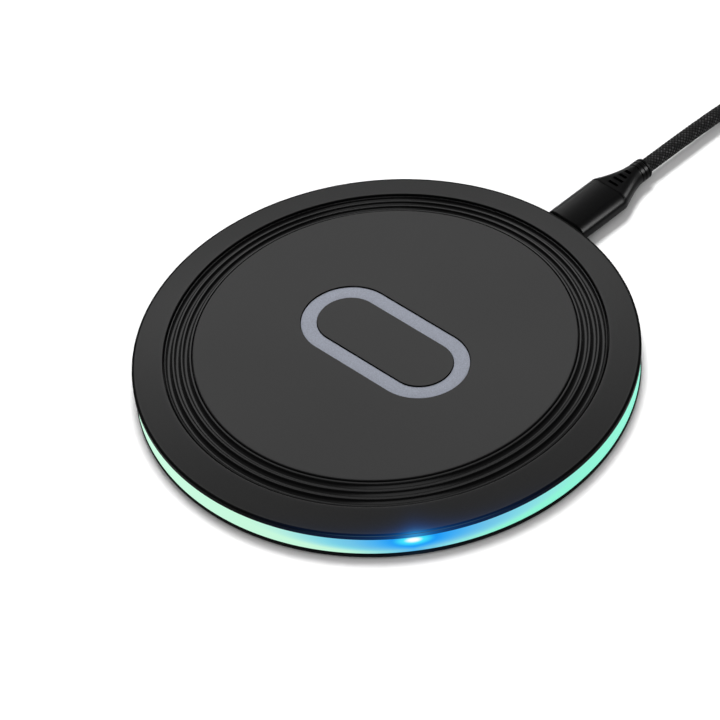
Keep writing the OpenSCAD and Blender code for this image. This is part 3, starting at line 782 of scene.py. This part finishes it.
def make_plug_boot():
    """Strain relief: cuts in from the grip, narrows like a trumpet, and ends in fine rings."""
    sections = [(63.9, 9.75, 4.86, 2.05), (64, 9.75, 4.86, 2.05), (64.5, 9.5, 4.6, 2.0), (65, 9.1, 4.45, 2.0),
                (66, 8.3, 4.3, 2.0), (67, 7.45, 4.22, 2.0), (68, 6.65, 4.2, 2.0), (69, 5.95, 4.25, 2.05),
                (70, 5.4, 4.35, 2.15), (70.7, 5.05, 4.42, 2.2), (71.3, 4.85, 4.45, 2.2)]
    for y in (71.6, 72.6, 73.6):
        sections += [(y, 4.78, 4.5, 2.25), (y + 0.12, 4.3, 4.2, 2.1), (y + 0.3, 4.3, 4.2, 2.1),
                     (y + 0.42, 4.7, 4.5, 2.25)]
    sections += [(74.3, 4.66, 4.5, 2.25), (74.5, 4.4, 4.3, 2.15), (74.5, 3.3, 3.3, 1.65)]
    piece = lofted("plug_relief", sections, (0, PORT_Z), 96, crown=0.4)
    places = [(65.3, 2.5, 1.5), (66.8, 2.5, 1.4), (68.2, 2.0, 1.4), (69.7, 1.5, 1.4)]
    slots_in(piece, places, (0, PORT_Z), 1.2)
    return piece


def make_usb_a_grip():
    """The charger end's grip: a rounded block with a thumb hollow on top."""
    sections = [(75, 14.8, 7.2, 1.9), (75.12, 15.2, 7.6, 2.0), (75.5, 15.6, 8, 2.1), (80, 15.6, 8, 2.1),
                (86, 15.6, 8, 2.1), (97, 15.6, 8, 2.1), (100.2, 15.4, 7.9, 2.1), (100.8, 14.8, 7.5, 2.1),
                (101, 14.2, 7.1, 2.1)]
    piece = lofted("charger_plug_body", sections, (50.4, 4.0), 64)
    deselect()
    bpy.ops.mesh.primitive_uv_sphere_add(segments=48, ring_count=24, radius=0.05,
                                         location=(50.4 * MM, 88 * MM, 0.0576))
    hollow = bpy.context.object
    start_edit(hollow, "hollow")
    bpy.ops.transform.resize(value=(0.5, 0.6, 1), center_override=(50.4 * MM, 88 * MM, 0.0576))
    end_edit(hollow)
    cut(piece, hollow)
    return piece


def make_usb_a_boot():
    """The charger end's strain relief, ribbed as the other is."""
    sections = [(100.9, 8, 5.6, 2.1), (101, 8, 5.6, 2.1), (103, 7.2, 5.5, 2.1), (105, 6.3, 5.3, 2.2),
                (106.5, 5.5, 5.1, 2.3)]
    for y in (107, 108, 109):
        sections += [(y, 5.1, 4.95, 2.4), (y + 0.12, 4.6, 4.5, 2.2), (y + 0.32, 4.6, 4.5, 2.2),
                     (y + 0.44, 5.0, 4.9, 2.4)]
    sections += [(109.8, 4.8, 4.8, 2.4), (110, 4.5, 4.5, 2.2), (110, 3.3, 3.3, 1.6)]
    piece = lofted("charger_plug_relief", sections, (50.4, 4.0), 64)
    slots_in(piece, [(102.8, 4.4, 2.3), (104.3, 3.8, 2.2), (105.7, 3.2, 2.15)], (50.4, 4.0), 1.2)
    return piece


def make_strap(name, middle):
    """Hook-and-loop strap round the wound cord: a closed band spun a little way, then thickened."""
    inner, outer = WOUND_IN - CORD_R, WOUND_OUT + CORD_R
    low, high = LOW_Z - CORD_R, HIGH_Z + CORD_R
    corner = 1.5
    ring = []
    for centre, start in (((outer - corner, high - corner), 90), ((outer - corner, low + corner), 0),
                          ((inner + corner, low + corner), -90), ((inner + corner, high - corner), -180)):
        ring += arc(centre, corner, start, start - 90, 8)
    ring.append(ring[0])
    piece = trace(name, ring, at=WOUND)
    start = math.radians(middle - 13)
    centre = (WOUND[0] * MM, WOUND[1] * MM, 0)
    bpy.ops.transform.rotate(value=-start, orient_axis="Z", center_override=centre)
    bpy.ops.mesh.spin(steps=20, angle=math.radians(26), center=centre, axis=(0, 0, 1))
    end_edit(piece)
    wall = piece.modifiers.new("wall", "SOLIDIFY")
    wall.thickness = 0.58 * MM
    wall.offset = 1
    bpy.ops.object.modifier_apply(modifier=wall.name)
    soften = piece.modifiers.new("soften", "BEVEL")
    soften.width = 0.12 * MM
    soften.segments = 2
    soften.angle_limit = math.radians(50)
    bpy.ops.object.modifier_apply(modifier=soften.name)
    bpy.ops.object.shade_smooth_by_angle(angle=math.radians(30))
    return piece


# Build

place_camera()
light_the_room(0.27, 0.09)
table_softbox = softbox("table_softbox", (-0.08, 0.06, 1.0), (0, 0.02, 0), (0.3, 0.3), 8.8)
front_fill = softbox("front_fill", (0.56, -0.38, 0.74), (0, 0.02, 0), (0.8, 0.8), 4.4)
back_softbox = softbox("back_softbox", (-0.5575, 0.4678, 0.6107), (0, 0, 0), (1.0, 0.60), 4.4)
top_softbox = softbox("top_softbox", (-0.2726, 0.2287, 0.8808), (0, 0, 0), (0.8, 0.34), 1.2)
rib_softbox = softbox("rib_softbox", (0.5146, -0.4318, 0.6717), (0, 0, 0), (0.6, 1.4), 4.0)
plug_softbox = softbox("plug_softbox", (-0.7406, 0.3938, 0.4460), (0, 0.06, 0), (0.35, 0.35), 2.2)
right_strip = softbox("right_strip", (0.66, 0.50, 0.52), (0, 0.06, 0), (0.12, 0.36), 5.0)
low_softbox = softbox("low_softbox", (0.27, 0.93, 0.24), (0, 0.07, 0), (0.3, 0.3), 2.0)

grain_group = make_grain_group()
lamp_group = make_lamp_group()
braid_group = make_braid_group()

route = smooth_route(LEAD + wound_points() + TAIL, lambda gone: 0.00021 if gone < BRAIDED_TO else 0.0010)
cord, cord_length = cord_tube("braided_cord", route, 48, BRAIDED_TO)

finishes = {
    "cover": spill_light(moulded("cover_satin", (0.006, 0.006, 0.0061), 0.40, grain=4200, depth=0.002,
                                 patches=18, spread=0.02, specular=0.22), 0.55),
    "ribbed_rubber": moulded("ribbed_rubber", (0.003, 0.003, 0.0031), 0.24, grain=3000, depth=0.002,
                             spread=0.02, specular=0.2),
    "oval_rubber": moulded("pale_rubber", (0.45, 0.48, 0.57), 0.6, grain=6000, depth=0.002, spread=0.03,
                            specular=0.3),
    "light_guide": light_guide_material(),
    "case": spill_light(moulded("case_plastic", (0.002, 0.002, 0.002), 0.5, grain=2200, depth=0.006,
                                specular=0.06), 0.02),
    "foot": moulded("foot_rubber", (0.02, 0.02, 0.021), 0.75, grain=1500, depth=0.01),
    "steel": moulded("drawn_steel", (0.56, 0.56, 0.57), 0.24, grain=700, depth=0.002, metallic=1.0),
    "board": moulded("board_mask", (0.012, 0.09, 0.04), 0.35, grain=900, depth=0.004),
    "black_plastic": moulded("black_plastic", (0.012, 0.012, 0.013), 0.4),
    "gold": moulded("gold_plate", (0.83, 0.60, 0.25), 0.22, grain=900, depth=0.001, metallic=1.0),
    "ceramic_part": moulded("fired_ceramic", (0.42, 0.30, 0.18), 0.5),
    "ferrite": moulded("ferrite", (0.035, 0.032, 0.03), 0.6, grain=1500, depth=0.01),
    "led": moulded("lamp_resin", (0.8, 0.85, 0.8), 0.3),
    "foam": moulded("foam", (0.07, 0.07, 0.075), 0.9, grain=2200, depth=0.05),
    "copper": moulded("litz_copper", (0.45, 0.16, 0.06), 0.35, grain=2600, depth=0.03, metallic=1.0),
    "tape": moulded("tape", (0.65, 0.57, 0.30), 0.45),
    "grip_plastic": moulded("grip_plastic", (0.0022, 0.0022, 0.0024), 0.30, grain=2600, depth=0.003,
                            spread=0.03, specular=0.12),
    "braid": braid_material(),
    "strap": moulded("strap_loops", (0.014, 0.014, 0.015), 0.9, grain=4500, depth=0.12, patches=900),
}


def keep(piece, body, slot_name, *nodes):
    """Gives a piece its finish and its body, and hides the CAD nodes it stands for."""
    piece.data.materials.clear()
    piece.data.materials.append(finishes[slot_name])
    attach(piece, body)
    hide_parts(*nodes)
    return piece


# Painted shade: the cover's outer edge band gets a near-black, barely reflective copy of the cover material
# so it reads dark, with the lamp's blue spill painted over it.
painted_dark_edge = spill_light(moulded("edge_painted_shade", (0.001, 0.001, 0.001), 0.35, specular=0.04), 0.68)
# Painted shade in the oval's groove: its walls and floor get a near-black, barely reflective copy of the
# cover material.
groove_black = moulded("groove_shade", (0.0015, 0.0015, 0.0015), 0.6, specular=0.05)
edge_line = edge_line_material()
cover = keep(make_cover(), "pad", "cover", "top_cover")
dark_parts(cover, painted_dark_edge, lambda at, way: math.hypot(at.x, at.y) > PAD_R - 0.5 and at.z < EDGE_Z + 0.2)
dark_parts(cover, groove_black, lambda at, way: math.hypot(at.x, at.y) < 21 and at.z < DISC_Z - 0.01
           and at.z > UNDER_Z + 0.1)
# Painted highlight: a thin blue emissive line on the cover's outer corner near the lamp.
dark_parts(cover, edge_line, lambda at, way: math.hypot(at.x, at.y) > PAD_R - 0.11 and at.z > EDGE_Z - 0.11)
ribs = keep(make_ribbed_ring(), "pad", "ribbed_rubber", "ribbed_ring")
keep(make_oval(), "pad", "oval_rubber", "oval_grip")
band = keep(make_light_ring(), "pad", "light_guide", "light_ring")
keep(make_case(), "pad", "case", "bottom_case")
keep(make_foot(), "pad", "foot", "foot_ring")

keep(cord, "cable", "braid", "cable_lead", "cable_coil", "cable_tail")
plug_body = keep(make_plug_grip(), "cable", "grip_plastic", "plug_grip")
plug_relief = keep(make_plug_boot(), "cable", "grip_plastic", "plug_boot")
charger_body = keep(make_usb_a_grip(), "cable", "grip_plastic", "usb_a_grip")
charger_relief = keep(make_usb_a_boot(), "cable", "grip_plastic", "usb_a_boot")
strap_far = keep(make_strap("strap_far", 90), "cable", "strap", "coil_straps")
strap_near = keep(make_strap("strap_near", 270), "cable", "strap")

node_finishes = {
    "case_screws": "steel", "circuit_board": "board", "port_shell": "steel", "port_tongue": "black_plastic",
    "port_contacts": "gold", "controller_chip": "black_plastic", "bridge_transistors": "black_plastic",
    "resonant_capacitors": "ceramic_part", "supply_inductor": "ferrite", "crystal": "steel",
    "status_leds": "led", "temperature_sensor": "black_plastic", "foam_spacer": "foam",
    "ferrite_plate": "ferrite", "transmit_coil": "copper", "coil_leads": "copper", "coil_tape": "tape",
    "plug_shell": "steel", "plug_insert": "black_plastic", "usb_a_shell": "steel",
    "usb_a_tongue": "black_plastic", "usb_a_contacts": "gold",
}
for name, slot_name in node_finishes.items():
    for material_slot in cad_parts[name].material_slots:
        material_slot.material = finishes[slot_name]

with_cord = [plug_body, plug_relief, charger_body, charger_relief, strap_far, strap_near]
with_cord += ["plug_shell", "plug_insert", "usb_a_shell", "usb_a_tongue", "usb_a_contacts"]


def make_floor():
    """A plain white table top, painted dimmer where glossy surfaces reflect it, which darkens the floor's
    reflections in the pieces.
    """
    deselect()
    bpy.ops.mesh.primitive_plane_add(size=6)
    piece = bpy.context.object
    piece.name = "floor"
    material, tree, shader = shell_material("white_floor", (0.92, 0.92, 0.92), 0.9, specular=0.0)
    matt = add(tree, "BsdfDiffuse", {"Color": (0.92, 0.92, 0.92)})
    # Painted shade in reflections: glossy rays see this dimmer copy of the floor.
    dim = add(tree, "BsdfDiffuse", {"Color": (0.45, 0.45, 0.45)})
    choice = add(tree, "MixShader")
    tree.links.new(add(tree, "LightPath").outputs["Is Glossy Ray"], choice.inputs[0])
    tree.links.new(matt.outputs[0], choice.inputs[1])
    tree.links.new(dim.outputs[0], choice.inputs[2])
    tree.links.new(choice.outputs[0], tree.nodes["Material Output"].inputs["Surface"])
    tree.nodes.remove(shader)
    piece.data.materials.append(material)
    return piece


floor = make_floor()
shine_on(table_softbox, "INCLUDE", floor)
shine_on(back_softbox, "EXCLUDE", floor, plug_body, plug_relief)
shine_on(top_softbox, "EXCLUDE", floor, plug_body, plug_relief)
shine_on(rib_softbox, "INCLUDE", ribs)
shine_on(front_fill, "INCLUDE", floor)
shine_on(plug_softbox, "INCLUDE", plug_body, plug_relief)
shine_on(right_strip, "INCLUDE", plug_body, plug_relief, cord)
shine_on(low_softbox, "INCLUDE", plug_relief)
shine_on(band, "EXCLUDE", floor, plug_body, plug_relief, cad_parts["plug_shell"])
